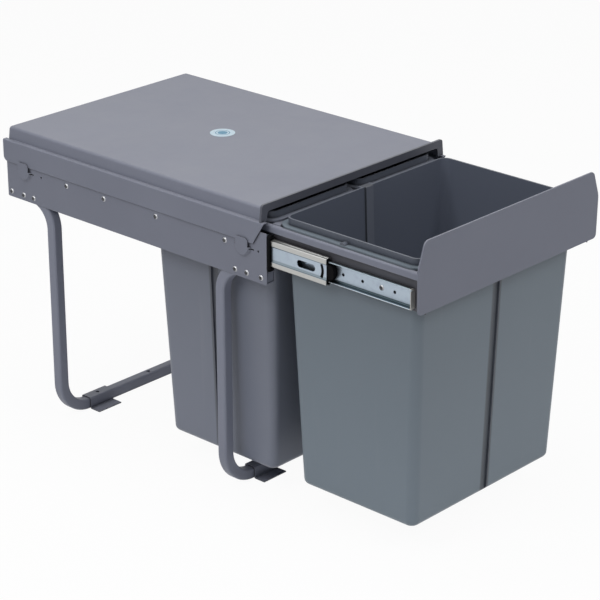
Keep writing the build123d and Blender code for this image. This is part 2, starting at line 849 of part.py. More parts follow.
cover = lid()
write("lid", cover)
write("lid_edge_strip", lid_edge_strip(cover))
write("lid_label", lid_label())
write("rear_leg", leg(leg_half, panel_rear - leg_end_inset, leg_rivet_row(1)))
write("front_leg", leg(-leg_half, -panel_front + leg_end_inset, leg_rivet_row(-1)))
for row, place in (("rear", leg_half), ("front", -leg_half)):
    for hand, side in (("left", -1), ("right", 1)):
        write(f"{row}_{hand}_foot_clip", foot_clip(side, place))

paired = {
    "side_panel": left_side_panel(),
    "leg_rivets": left_leg_rivets(),
    "slide_rivets": left_slide_rivets(),
    "drawer_rivets": left_drawer_rivets(),
    "outer_slide": left_outer_slide(),
    "middle_slide": left_middle_slide(),
    "inner_slide": left_inner_slide(),
    "slide_bumper": left_bumper(),
    "slide_end_cap": left_end_cap(),
    "outer_ball_cage": left_outer_cage(),
    "outer_balls": balls(outer_ball_inset, outer_ball_rise, outer_ball_radius, outer_cage_place),
    "inner_ball_cage": left_inner_cage(),
    "inner_balls": balls(inner_ball_inset, inner_ball_rise, inner_ball_radius, inner_cage_place),
    "rail": left_rail(),
}
for name, shape in paired.items():
    for hand, piece in zip(("left", "right"), both_sides(shape)):
        write(f"{hand}_{name}", piece)

write("front_bar", front_bar())
write("middle_bar", cross_bar(middle_bar_place, middle_bar_width))
write("rear_bar", cross_bar(rear_bar_place, bar_width))
write("bin_divider", bin_divider())
write("front_panel", front_panel())
write("front_panel_nuts", front_panel_nuts())

write("front_bin", front_bin())
for hand, piece in zip(("left", "right"), both_sides(rear_left_bin())):
    write(f"rear_{hand}_bin", piece)
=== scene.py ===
import json
import math

import bmesh
import bpy
from mathutils import Matrix, Vector


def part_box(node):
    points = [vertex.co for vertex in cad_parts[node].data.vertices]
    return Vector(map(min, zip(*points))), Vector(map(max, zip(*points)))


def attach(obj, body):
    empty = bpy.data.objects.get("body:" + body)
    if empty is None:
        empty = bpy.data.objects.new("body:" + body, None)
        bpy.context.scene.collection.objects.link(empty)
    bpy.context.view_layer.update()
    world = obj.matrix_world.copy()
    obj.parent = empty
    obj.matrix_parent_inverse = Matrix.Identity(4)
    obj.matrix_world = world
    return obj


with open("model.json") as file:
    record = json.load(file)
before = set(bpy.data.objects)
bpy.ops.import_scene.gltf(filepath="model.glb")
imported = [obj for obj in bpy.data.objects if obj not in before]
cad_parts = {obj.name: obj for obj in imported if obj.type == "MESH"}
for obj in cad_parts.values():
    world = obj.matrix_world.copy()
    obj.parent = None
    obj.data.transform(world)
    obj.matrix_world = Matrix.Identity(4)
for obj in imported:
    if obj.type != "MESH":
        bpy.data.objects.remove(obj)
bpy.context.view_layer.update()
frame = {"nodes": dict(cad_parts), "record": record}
nodes = frame["nodes"]
scene = bpy.context.scene
mm = 0.001
print("frame loaded,", len(nodes), "nodes")


# camera: same place and lens as the photo's
view = {
    "place": (-2.0030, -1.9872, 1.3376),
    "turn": 47.52,   # degrees from +Y towards +X
    "tilt": 22.44,   # degrees down
    "lens": 136.8, "sensor": 36,
    "shift": (-0.0167, -0.0073),
    "farthest": 50,
}
camData = bpy.data.cameras.new("photoCamera")
camData.lens = view["lens"]
camData.sensor_width = view["sensor"]
camData.shift_x, camData.shift_y = view["shift"]
camData.clip_end = view["farthest"]
photoCamera = bpy.data.objects.new("photoCamera", camData)
photoCamera.location = view["place"]
tilt, turn = math.radians(90 - view["tilt"]), math.radians(-view["turn"])
photoCamera.rotation_euler = (tilt, 0, turn)
scene.collection.objects.link(photoCamera)
scene.camera = photoCamera


# light: pale room, one big softbox overhead, two smaller ones high at the left and front
light = {
    "roomLevel": 0.20, "roomTint": (0.97, 0.98, 1.0),
    "softboxes": [
        # name, place, aims at, size, watts
        ("overhead", (-0.2, 0.1, 2.6), (0, -0.1, 0.2), 2.0, 26),
        ("leftHigh", (-1.7, -0.1, 1.9), (0, -0.1, 0.25), 0.9, 17),
        ("frontHigh", (0.2, -1.9, 1.9), (0, -0.2, 0.25), 0.9, 13),
    ],
}
for boxName, place, aim, size, watts in light["softboxes"]:
    lampData = bpy.data.lights.new(boxName, "AREA")
    lampData.size = size
    lampData.energy = watts
    lamp = bpy.data.objects.new(boxName, lampData)
    lamp.location = place
    beam = Vector(aim) - Vector(place)
    lamp.rotation_euler = beam.to_track_quat("-Z", "Y").to_euler()
    scene.collection.objects.link(lamp)


# node tree helpers: those that end in "In" add a node and hand back its output or outputs

def newTree(owner):
    owner.use_nodes = True
    tree = owner.node_tree
    tree.nodes.clear()
    return tree


def addNode(tree, kind, at=(0, 0), **settings):
    node = tree.nodes.new(kind)
    node.location = at
    for key, value in settings.items():
        setattr(node, key, value)
    return node


def feed(tree, socket, value):
    # another node's output is linked, anything else is set on the socket
    if isinstance(value, bpy.types.NodeSocket):
        tree.links.new(value, socket)
    elif socket.type == "RGBA":
        socket.default_value = (*value, 1)
    else:
        socket.default_value = value


def mathIn(tree, operation, at, first, second=None, clamp=False):
    node = addNode(tree, "ShaderNodeMath", at, operation=operation, use_clamp=clamp)
    feed(tree, node.inputs[0], first)
    if second is not None:
        feed(tree, node.inputs[1], second)
    return node.outputs[0]


def timesIn(tree, at, first, *others):
    # product of them all
    for step, value in enumerate(others):
        first = mathIn(tree, "MULTIPLY", (at[0] + 160 * step, at[1]), first, value)
    return first


def vectorIn(tree, operation, at, first, second=None):
    node = addNode(tree, "ShaderNodeVectorMath", at, operation=operation)
    feed(tree, node.inputs[0], first)
    if second is not None:
        feed(tree, node.inputs[1], second)
    return node.outputs["Value" if operation in ("DOT_PRODUCT", "LENGTH") else "Vector"]


def objectIn(tree, at):
    return addNode(tree, "ShaderNodeTexCoord", at).outputs["Object"]


def splitIn(tree, at, vector):
    node = addNode(tree, "ShaderNodeSeparateXYZ", at)
    tree.links.new(vector, node.inputs[0])
    return node.outputs


def noiseIn(tree, at, scale, detail=3.0, roughness=0.5, stretch=None):
    # a stretch under 1 draws the patches out along that axis
    source = objectIn(tree, (at[0] - 400, at[1]))
    if stretch:
        mapping = addNode(tree, "ShaderNodeMapping", (at[0] - 200, at[1]))
        feed(tree, mapping.inputs["Vector"], source)
        feed(tree, mapping.inputs["Scale"], stretch)
        source = mapping.outputs[0]
    noise = addNode(tree, "ShaderNodeTexNoise", at)
    feed(tree, noise.inputs["Vector"], source)
    feed(tree, noise.inputs["Scale"], scale)
    feed(tree, noise.inputs["Detail"], detail)
    feed(tree, noise.inputs["Roughness"], roughness)
    return noise.outputs[0]


def rampIn(tree, at, value, low, high, falling=False):
    # 0 below low and 1 above high, or the other way round
    node = addNode(tree, "ShaderNodeValToRGB", at)
    ends = node.color_ramp.elements
    ends[0].position, ends[1].position = low, high
    if falling:
        ends[0].color, ends[1].color = (1, 1, 1, 1), (0, 0, 0, 1)
    tree.links.new(value, node.inputs[0])
    return node.outputs[0]


def rangeIn(tree, at, value, limits=(0.0, 1.0), to=(0.0, 1.0)):
    # value between two limits brought to two others
    node = addNode(tree, "ShaderNodeMapRange", at)
    feed(tree, node.inputs["Value"], value)
    feed(tree, node.inputs["From Min"], limits[0])
    feed(tree, node.inputs["From Max"], limits[1])
    feed(tree, node.inputs["To Min"], to[0])
    feed(tree, node.inputs["To Max"], to[1])
    return node.outputs[0]


def bumpIn(tree, at, height, distance, normal=None):
    node = addNode(tree, "ShaderNodeBump", at)
    feed(tree, node.inputs["Height"], height)
    feed(tree, node.inputs["Distance"], distance)
    if normal is not None:
        feed(tree, node.inputs["Normal"], normal)
    return node.outputs[0]


def mixIn(tree, at, factor, first, second):
    # from the first colour to the second
    node = addNode(tree, "ShaderNodeMix", at, data_type="RGBA")
    feed(tree, node.inputs[0], factor)
    feed(tree, node.inputs[6], first)
    feed(tree, node.inputs[7], second)
    return node.outputs[2]


def groupIn(tree, group, at, **values):
    node = addNode(tree, "ShaderNodeGroup", at, node_tree=group)
    for label, value in values.items():
        node.inputs[label.replace("_", " ")].default_value = value
    return node.outputs


# room and floor: lit pale, but white to every ray that sees them straight

def seenIn(tree, at):
    # 1 for rays from the camera, from metal or through glass
    path = addNode(tree, "ShaderNodeLightPath", at).outputs
    seen = path["Is Camera Ray"]
    for step, kind in enumerate(("Is Glossy Ray", "Is Transmission Ray"), 1):
        seen = mathIn(tree, "MAXIMUM", (at[0] + 180 * step, at[1]), seen, path[kind])
    return seen


def endBackdrop(tree, outKind, seen, lit, white):
    mix = addNode(tree, "ShaderNodeMixShader", (220, 40))
    out = addNode(tree, outKind, (420, 40))
    for socket, value in zip(mix.inputs, (seen, lit.outputs[0], white.outputs[0])):
        tree.links.new(value, socket)
    tree.links.new(mix.outputs[0], out.inputs[0])


room = bpy.data.worlds.new("paleRoom")
scene.world = room
tree = newTree(room)
lit = addNode(tree, "ShaderNodeBackground", (0, 100))
feed(tree, lit.inputs["Color"], light["roomTint"])
feed(tree, lit.inputs["Strength"], light["roomLevel"])
white = addNode(tree, "ShaderNodeBackground", (0, -60))
feed(tree, white.inputs["Color"], (1, 1, 1))
endBackdrop(tree, "ShaderNodeOutputWorld", seenIn(tree, (-620, 260)), lit, white)
scene.view_settings.view_transform = "Standard"

floorPaper = {
    "half": 6.0, "squares": 12, "drop": 0.5 * mm,
    "colour": (0.86, 0.86, 0.86), "ownWhite": 0.95,   # share of white that shadows can't darken
}
bm = bmesh.new()
squares = floorPaper["squares"]
bmesh.ops.create_grid(bm, x_segments=squares, y_segments=squares, size=floorPaper["half"])
floorMesh = bpy.data.meshes.new("paperFloor")
bm.to_mesh(floorMesh)
bm.free()
floorMesh.transform(Matrix.Translation((0, 0, -floorPaper["drop"])))
paperFloor = bpy.data.objects.new("paperFloor", floorMesh)
scene.collection.objects.link(paperFloor)
paperCoat = bpy.data.materials.new("paperWhite")
tree = newTree(paperCoat)
matt = addNode(tree, "ShaderNodeBsdfDiffuse", (0, 80))
feed(tree, matt.inputs["Color"], floorPaper["colour"])
glow = addNode(tree, "ShaderNodeEmission", (0, -60))
share = mathIn(tree, "MULTIPLY", (0, 260), seenIn(tree, (-560, 260)), floorPaper["ownWhite"])
endBackdrop(tree, "ShaderNodeOutputMaterial", share, matt, glow)
floorMesh.materials.append(paperCoat)
print("camera, light and floor set")


# shader groups that several finishes share

def newGroup(name, inputs, outputs):
    group = bpy.data.node_groups.new(name, "ShaderNodeTree")
    for label, value in inputs.items():
        socket = group.interface.new_socket(label, in_out="INPUT", socket_type="NodeSocketFloat")
        socket.default_value = value
    for label, kind in outputs.items():
        group.interface.new_socket(label, in_out="OUTPUT", socket_type="NodeSocket" + kind)
    start = addNode(group, "NodeGroupInput", (-900, 0))
    end = addNode(group, "NodeGroupOutput", (700, 0))
    return group, start.outputs, end.inputs


def endMask(group, start, end, first, second):
    both = mathIn(group, "MULTIPLY", (200, 0), first, second)
    mask = mathIn(group, "MULTIPLY", (400, 0), both, start["Amount"], clamp=True)
    group.links.new(mask, end["Mask"])
    return group


def buildEdgeWear():
    # mask of rubbed corners: where a rounded normal leaves the true one, broken up by noise
    look = {"gain": 5.0, "patches": (0.46, 0.66)}
    group, start, end = newGroup(
        "edgeWear", {"Radius": 1 * mm, "Patch Scale": 60.0, "Amount": 0.5}, {"Mask": "Float"}
    )
    rounded = addNode(group, "ShaderNodeBevel", (-700, 100), samples=6)
    group.links.new(start["Radius"], rounded.inputs["Radius"])
    sharp = addNode(group, "ShaderNodeNewGeometry", (-700, -100)).outputs["True Normal"]
    same = vectorIn(group, "DOT_PRODUCT", (-500, 0), rounded.outputs[0], sharp)
    edge = mathIn(group, "SUBTRACT", (-320, 0), 1.0, same)
    edge = mathIn(group, "MULTIPLY", (-160, 0), edge, look["gain"], clamp=True)
    patches = noiseIn(group, (-500, -340), start["Patch Scale"], detail=5, roughness=0.65)
    patches = rampIn(group, (-320, -340), patches, *look["patches"])
    return endMask(group, start, end, edge, patches)


def buildFineGrain():
    # small bumps of powder coat or moulded plastic, with a slow waviness under them
    group, start, end = newGroup(
        "fineGrain",
        {"Grain Scale": 900.0, "Wave Scale": 40.0,
         "Grain Height": 0.04 * mm, "Wave Height": 0.2 * mm},
        {"Normal": "Vector", "Speckle": "Float"},
    )
    grain = noiseIn(group, (-400, 100), start["Grain Scale"], detail=3)
    wave = noiseIn(group, (-400, -200), start["Wave Scale"], detail=2)
    normal = bumpIn(group, (-100, -200), wave, start["Wave Height"])
    normal = bumpIn(group, (200, 0), grain, start["Grain Height"], normal)
    group.links.new(normal, end["Normal"])
    group.links.new(grain, end["Speckle"])
    return group


def buildSettledDust():
    # thin dust on faces that look up, thicker in soft patches
    look = {"falloff": 3.0}
    group, start, end = newGroup(
        "settledDust", {"Patch Scale": 18.0, "Amount": 0.3}, {"Mask": "Float"}
    )
    shape = addNode(group, "ShaderNodeNewGeometry", (-700, 100))
    up = splitIn(group, (-500, 100), shape.outputs["Normal"])["Z"]
    up = mathIn(group, "MAXIMUM", (-320, 100), up, 0.0)
    up = mathIn(group, "POWER", (-160, 100), up, look["falloff"])
    patches = noiseIn(group, (-300, -200), start["Patch Scale"], detail=6, roughness=0.7)
    return endMask(group, start, end, up, patches)


def buildSeamShading():
    # painted shade where two surfaces nearly meet, thinned out by noise
    look = {"patches": (0.3, 0.55), "thinned": (0.6, 1.0)}
    group, start, end = newGroup(
        "seamShading",
        {"Reach": 5 * mm, "Open At": 0.95, "Shut At": 0.6, "Patch Scale": 50.0, "Amount": 0.6},
        {"Mask": "Float"},
    )
    nearby = addNode(group, "ShaderNodeAmbientOcclusion", (-700, 100), samples=8)
    group.links.new(start["Reach"], nearby.inputs["Distance"])
    limits = start["Open At"], start["Shut At"]
    deep = rangeIn(group, (-480, 100), nearby.outputs["AO"], limits)
    patches = noiseIn(group, (-300, -200), start["Patch Scale"], detail=4)
    patches = rangeIn(group, (-100, -200), patches, look["patches"], look["thinned"])
    return endMask(group, start, end, deep, patches)


def buildRollMarks():
    # fine lines that run the length of rolled or drawn strip, along Y
    group, start, end = newGroup(
        "rollMarks", {"Line Scale": 1200.0, "Height": 0.02 * mm},
        {"Lines": "Float", "Normal": "Vector"},
    )
    lines = noiseIn(group, (-300, 0), start["Line Scale"], detail=4, stretch=(1, 0.012, 1))
    group.links.new(lines, end["Lines"])
    group.links.new(bumpIn(group, (0, -100), lines, start["Height"]), end["Normal"])
    return group


edgeWear = buildEdgeWear()
fineGrain = buildFineGrain()
settledDust = buildSettledDust()
seamShading = buildSeamShading()
rollMarks = buildRollMarks()


# finishes

def startFinish(name):
    finish = bpy.data.materials.new(name)
    tree = newTree(finish)
    shader = addNode(tree, "ShaderNodeBsdfPrincipled", (600, 0))
    out = addNode(tree, "ShaderNodeOutputMaterial", (900, 0))
    tree.links.new(shader.outputs[0], out.inputs[0])
    return finish, tree, shader.inputs


def shade(tone, factor):
    return tuple(factor * part for part in tone)


def makeCoatedSteel(name="coatedSteel", depth=1.0, skirtShadow=None, seamShadeAmount=0.8):
    # depth: the whole coat lighter or darker, as painted light and shade on the lid, panels and
    # legs, which share one paint, and as the edge strip's own darker colour; the seam setting:
    # how much painted shade its seams get,
    # the shadow setting: a painted shadow below one height and within one distance of the middle
    look = {
        "coat": (0.188, 0.200, 0.254), "coatLight": (0.214, 0.227, 0.284),
        "fleck": (0.30, 0.32, 0.37), "fleckShare": 0.35,
        "fleckScale": 1500, "fleckSize": (0.02, 0.16),
        "bare": (0.50, 0.50, 0.52), "dust": (0.42, 0.41, 0.40), "seamShade": (0.022, 0.022, 0.025),
        "skirtShadow": (0.050, 0.047, 0.052), "skirtShadowPatches": (0.55, 1.0),
        "roughness": (0.40, 0.56), "specular": 0.36,
    }
    finish, tree, shader = startFinish(name)
    coords = objectIn(tree, (-900, 0))
    cloud = noiseIn(tree, (-700, 300), scale=9.0)
    coat, coatLight, fleck = (shade(look[key], depth) for key in ("coat", "coatLight", "fleck"))
    colour = mixIn(tree, (-400, 300), cloud, coat, coatLight)
    cells = addNode(tree, "ShaderNodeTexVoronoi", (-700, 0))
    feed(tree, cells.inputs["Vector"], coords)
    feed(tree, cells.inputs["Scale"], look["fleckScale"])
    spots = rampIn(tree, (-500, 0), cells.outputs["Distance"], *look["fleckSize"], falling=True)
    spots = mathIn(tree, "MULTIPLY", (-300, 60), spots, look["fleckShare"])
    colour = mixIn(tree, (-200, 200), spots, colour, fleck)
    dust = groupIn(tree, settledDust, (-200, -300), Patch_Scale=14.0, Amount=0.22)
    colour = mixIn(tree, (0, 200), dust["Mask"], colour, look["dust"])
    wear = groupIn(tree, edgeWear, (-200, -120), Radius=0.7 * mm, Patch_Scale=55.0, Amount=0.55)
    colour = mixIn(tree, (200, 200), wear["Mask"], colour, look["bare"])
    # painted shade in the seams
    seamShade = groupIn(tree, seamShading, (-200, 520), Reach=5 * mm, Open_At=0.93, Shut_At=0.58,
                    Patch_Scale=45.0, Amount=seamShadeAmount)
    colour = mixIn(tree, (380, 300), seamShade["Mask"], colour, look["seamShade"])
    # painted shadow on the rail's plate under its skirt, broken up by noise
    if skirtShadow:
        place = splitIn(tree, (-700, 900), coords)
        lowEnough = mathIn(tree, "LESS_THAN", (-520, 960), place["Z"], skirtShadow["below"])
        fromMiddle = mathIn(tree, "ABSOLUTE", (-520, 840), place["X"])
        nearEnough = mathIn(tree, "LESS_THAN", (-360, 840), fromMiddle, skirtShadow["inside"])
        patches = noiseIn(tree, (-520, 1080), scale=30.0, detail=4, stretch=(1, 0.3, 1))
        patches = rangeIn(tree, (-360, 1080), patches, to=look["skirtShadowPatches"])
        amount = timesIn(tree, (-200, 960), lowEnough, nearEnough, patches)
        colour = mixIn(tree, (480, 500), amount, colour, look["skirtShadow"])
    tree.links.new(colour, shader["Base Color"])
    grain = groupIn(tree, fineGrain, (-200, -520), Grain_Scale=1300.0, Wave_Scale=22.0,
                    Grain_Height=0.05 * mm, Wave_Height=0.35 * mm)
    tree.links.new(grain["Normal"], shader["Normal"])
    rough = rangeIn(tree, (200, -300), grain["Speckle"], to=look["roughness"])
    tree.links.new(rough, shader["Roughness"])
    shader["Specular IOR Level"].default_value = look["specular"]
    return finish


slideHeight = 344.5 * mm   # middle height of the slides


def makeZincPlate(name, tones, roughness, bands=(), shadedBackFrom=None, nose=None):
    # tones: plain plate, bluish patch, dull patch
    # bands: zones between two heights above or below the strip's middle, with soft ends
    # the face setting: how far out the side begins that lies on a panel; that side gets painted
    # shade and shows only through the panel's holes
    # nose: front end painted pale and less metallic up to a place along Y, a painted highlight
    look = {
        "dullPatches": (0.5, 0.75), "dullShare": 0.5,
        "backShade": (0.012, 0.012, 0.013), "seamShade": (0.020, 0.022, 0.024),
        "noseShare": 0.9, "noseMetal": 0.25,
        "roughness": (roughness - 0.08, roughness + 0.06), "cloudRougher": 0.08,
    }
    finish, tree, shader = startFinish(name)
    lines = groupIn(tree, rollMarks, (-700, -200), Line_Scale=900.0, Height=0.03 * mm)
    cloud = noiseIn(tree, (-700, 300), scale=38.0, detail=4, stretch=(1, 0.35, 1))
    colour = mixIn(tree, (-400, 300), cloud, tones[0], tones[1])
    dull = noiseIn(tree, (-700, 60), scale=140.0, detail=5)
    dull = rampIn(tree, (-500, 60), dull, *look["dullPatches"])
    dull = mathIn(tree, "MULTIPLY", (-300, 60), dull, look["dullShare"])
    colour = mixIn(tree, (-150, 200), dull, colour, tones[2])
    place = splitIn(tree, (-1320, 560), objectIn(tree, (-1500, 560)))
    for index, band in enumerate(bands):
        row = 800 + 300 * index
        rise = mathIn(tree, "SUBTRACT", (-1140, row), place["Z"], slideHeight)
        if band["sides"] == "both":
            rise = mathIn(tree, "ABSOLUTE", (-980, row), rise)
        low, high, soft = band["low"], band["high"], band["soft"]
        above = rangeIn(tree, (-800, row), rise, (low - soft, low + soft))
        below = rangeIn(tree, (-800, row - 150), rise, (high + soft, high - soft))
        streak = noiseIn(tree, (-600, row + 100), scale=90.0, detail=4, stretch=(1, 0.05, 1))
        streak = rangeIn(tree, (-420, row + 100), streak, to=(band["least"], 1.0))
        amount = timesIn(tree, (-500, row), above, below, streak)
        colour = mixIn(tree, (-100, row), amount, colour, band["tone"])
    # painted shade on the side that lies against the panel
    if shadedBackFrom:
        outward = mathIn(tree, "ABSOLUTE", (-460, 640), place["X"])
        depth = mathIn(tree, "GREATER_THAN", (-300, 640), outward, shadedBackFrom)
        colour = mixIn(tree, (50, 400), depth, colour, look["backShade"])
    # painted shade where the plate nearly meets other surfaces, darkest behind the middle
    # sections
    seamShade = groupIn(tree, seamShading, (150, 700), Reach=8 * mm, Open_At=0.66, Shut_At=0.34,
                    Patch_Scale=60.0, Amount=0.92)
    colour = mixIn(tree, (250, 400), seamShade["Mask"], colour, look["seamShade"])
    shader["Metallic"].default_value = 1.0
    # painted highlight: the front end pale and less metallic
    if nose:
        atNose = mathIn(tree, "LESS_THAN", (-300, 1500), place["Y"], nose["upTo"])
        noseLit = mathIn(tree, "MULTIPLY", (-100, 1500), atNose, look["noseShare"])
        colour = mixIn(tree, (400, 400), noseLit, colour, nose["tone"])
        metal = rangeIn(tree, (400, 200), atNose, to=(1.0, look["noseMetal"]))
        tree.links.new(metal, shader["Metallic"])
    tree.links.new(colour, shader["Base Color"])
    rough = rangeIn(tree, (0, -200), lines["Lines"], to=look["roughness"])
    cloudy = mathIn(tree, "MULTIPLY", (0, -340), cloud, look["cloudRougher"])
    tree.links.new(mathIn(tree, "ADD", (200, -200), rough, cloudy), shader["Roughness"])
    tree.links.new(lines["Normal"], shader["Normal"])
    return finish


def makeFilmSteel(name, tones, roughness, scale, detail, metal=1.0):
    # small steel pieces: two tones and a roughness range in one fine film
    finish, tree, shader = startFinish(name)
    film = noiseIn(tree, (-500, 100), scale, detail)
    tree.links.new(mixIn(tree, (-200, 100), film, *tones), shader["Base Color"])
    tree.links.new(rangeIn(tree, (-200, -100), film, to=roughness), shader["Roughness"])
    shader["Metallic"].default_value = metal
    return finish


def makeRivetSteel():
    # bright bevel round a dull flat top
    look = {
        "plate": (0.34, 0.35, 0.37), "bright": (0.52, 0.52, 0.53), "wearAndHighlight": (0.88, 0.88, 0.88),
        "dull": (0.025, 0.025, 0.03), "dullShare": 0.85, "flatFrom": 0.86,
        "roughness": (0.40, 0.58),
    }
    finish, tree, shader = startFinish("rivetSteel")
    film = noiseIn(tree, (-700, 100), scale=420.0, detail=4)
    colour = mixIn(tree, (-400, 100), film, look["plate"], look["bright"])
    wear = groupIn(tree, edgeWear, (-500, -120), Radius=0.4 * mm, Patch_Scale=300.0, Amount=0.8)
    colour = mixIn(tree, (-200, 100), wear["Mask"], colour, look["wearAndHighlight"])
    shape = addNode(tree, "ShaderNodeNewGeometry", (-900, 400))
    facing = splitIn(tree, (-720, 400), shape.outputs["True Normal"])["X"]
    facing = mathIn(tree, "ABSOLUTE", (-560, 400), facing)
    flat = mathIn(tree, "GREATER_THAN", (-400, 400), facing, look["flatFrom"])
    flat = mathIn(tree, "MULTIPLY", (-200, 400), flat, look["dullShare"])
    tree.links.new(mixIn(tree, (0, 200), flat, colour, look["dull"]), shader["Base Color"])
    rough = rangeIn(tree, (-200, -300), film, to=look["roughness"])
    tree.links.new(rough, shader["Roughness"])
    shader["Metallic"].default_value = 1.0
    return finish


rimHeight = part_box("rear_left_bin")[1].z


def makeBinMould(name, groove, body=(0.176, 0.215, 0.254), pale=(0.198, 0.238, 0.278)):
    # groove: axis across the moulded groove, its middle there, and the bin's own middle
    look = {
        "low": shade(body, 1.14), "high": shade(body, 0.85),
        "lowest": 60 * mm, "highest": 350 * mm,
        "pale": pale, "paleShare": 0.4,
        "rub": (0.34, 0.35, 0.38), "scratches": (0.64, 0.80), "scratchShare": 0.10,
        "insideShade": (0.120, 0.135, 0.178), "insideShadeShare": 0.9,
        "collarShade": (0.100, 0.112, 0.142), "collarShadeFrom": rimHeight - 8.6 * mm,
        "grooveShade": (0.062, 0.067, 0.080), "grooveHalf": 6.4 * mm, "grooveFade": 9.6 * mm,
        "ridge": (0.190, 0.205, 0.245), "ridgeHalf": 6.4 * mm, "ridgeShare": 0.6,
        "patches": (0.55, 1.0),
        "dust": (0.40, 0.39, 0.37), "seamShade": (0.020, 0.021, 0.024),
        "roughness": (0.34, 0.46), "specular": 0.34,
    }
    finish, tree, shader = startFinish(name)
    coords = objectIn(tree, (-1500, 520))
    place = splitIn(tree, (-1320, 400), coords)
    # painted light and shade: lighter at the bottom, darker towards the top, with pale flow marks
    # and a few scratches
    height = rangeIn(tree, (-1140, 200), place["Z"], (look["lowest"], look["highest"]))
    colour = mixIn(tree, (-560, 420), height, look["low"], look["high"])
    flow = noiseIn(tree, (-700, 300), scale=6.0, stretch=(1, 1, 0.3))
    flow = mathIn(tree, "MULTIPLY", (-560, 300), flow, look["paleShare"])
    colour = mixIn(tree, (-400, 300), flow, colour, look["pale"])
    scratch = noiseIn(tree, (-700, 20), scale=60.0, detail=8, stretch=(1, 1, 0.06))
    scratch = rampIn(tree, (-500, 20), scratch, *look["scratches"])
    scratch = mathIn(tree, "MULTIPLY", (-300, 60), scratch, look["scratchShare"])
    colour = mixIn(tree, (-150, 250), scratch, colour, look["rub"])
    # outside is 1 where a wall faces away from the bin's middle, inside the other way round
    fromMiddle = vectorIn(tree, "SUBTRACT", (-1320, 560), coords, groove["binMiddle"])
    normal = addNode(tree, "ShaderNodeNewGeometry", (-1500, 700)).outputs["Normal"]
    facing = vectorIn(tree, "DOT_PRODUCT", (-1140, 640), fromMiddle, normal)
    outside = mathIn(tree, "GREATER_THAN", (-960, 640), facing, 0.0)
    inside = mathIn(tree, "SUBTRACT", (-800, 760), 1.0, outside)
    # painted shade on the walls inside the bin
    shadedInside = mathIn(tree, "MULTIPLY", (-600, 700), inside, look["insideShadeShare"])
    colour = mixIn(tree, (-100, 420), shadedInside, colour, look["insideShade"])
    # painted shade on the outside of the collar, under the rim
    shadedCollar = mathIn(tree, "GREATER_THAN", (-800, 1300), place["Z"], look["collarShadeFrom"])
    shadedCollar = mathIn(tree, "MULTIPLY", (-600, 1300), shadedCollar, outside)
    colour = mixIn(tree, (-80, 600), shadedCollar, colour, look["collarShade"])
    # painted shadow in the groove outside, painted highlight on the ridge inside
    offset = mathIn(tree, "SUBTRACT", (-1140, 400), place[groove["axis"]], groove["middle"])
    offset = mathIn(tree, "ABSOLUTE", (-980, 400), offset)
    patches = noiseIn(tree, (-1000, 200), scale=30.0, detail=5, stretch=(1, 1, 0.2))
    patches = rangeIn(tree, (-800, 200), patches, to=look["patches"])
    fade = rangeIn(tree, (-800, 480), offset, (look["grooveFade"], look["grooveHalf"]))
    grooveShaded = timesIn(tree, (-600, 560), fade, outside, patches)
    colour = mixIn(tree, (-50, 420), grooveShaded, colour, look["grooveShade"])
    # painted highlight on the ridge inside
    onRidge = mathIn(tree, "LESS_THAN", (-800, 900), offset, look["ridgeHalf"])
    wearAndHighlight = timesIn(tree, (-600, 900), onRidge, inside, patches, look["ridgeShare"])
    colour = mixIn(tree, (0, 560), wearAndHighlight, colour, look["ridge"])
    wear = groupIn(tree, edgeWear, (-300, -120), Radius=1.2 * mm, Patch_Scale=40.0, Amount=0.35)
    colour = mixIn(tree, (50, 250), wear["Mask"], colour, look["rub"])
    dust = groupIn(tree, settledDust, (-300, -320), Patch_Scale=26.0, Amount=0.08)
    colour = mixIn(tree, (250, 250), dust["Mask"], colour, look["dust"])
    # painted shade in the seams
    seamShade = groupIn(tree, seamShading, (-300, 1100), Reach=6 * mm, Open_At=0.80, Shut_At=0.40,
                    Patch_Scale=35.0, Amount=0.75)
    colour = mixIn(tree, (400, 400), seamShade["Mask"], colour, look["seamShade"])
    tree.links.new(colour, shader["Base Color"])
    grain = groupIn(tree, fineGrain, (-300, -520), Grain_Scale=1700.0, Wave_Scale=12.0,
                    Grain_Height=0.04 * mm, Wave_Height=0.6 * mm)
    tree.links.new(grain["Normal"], shader["Normal"])
    rough = rangeIn(tree, (100, -300), grain["Speckle"], to=look["roughness"])
    tree.links.new(rough, shader["Roughness"])
    shader["Specular IOR Level"].default_value = look["specular"]
    return finish


def makeStopPlastic():
    look = {
        "black": (0.003, 0.003, 0.0035), "worn": (0.009, 0.009, 0.010),
        "roughness": (0.5, 0.7), "specular": 0.04,
    }
    finish, tree, shader = startFinish("stopPlastic")
    film = noiseIn(tree, (-600, 100), scale=300.0, detail=4)
    colour = mixIn(tree, (-200, 100), film, look["black"], look["worn"])
    tree.links.new(colour, shader["Base Color"])
    grain = groupIn(tree, fineGrain, (-300, -220), Grain_Scale=2400.0, Wave_Scale=120.0,
                    Grain_Height=0.03 * mm, Wave_Height=0.05 * mm)
    tree.links.new(grain["Normal"], shader["Normal"])
    rough = rangeIn(tree, (100, -100), film, to=look["roughness"])
    tree.links.new(rough, shader["Roughness"])
    shader["Specular IOR Level"].default_value = look["specular"]
    return finish


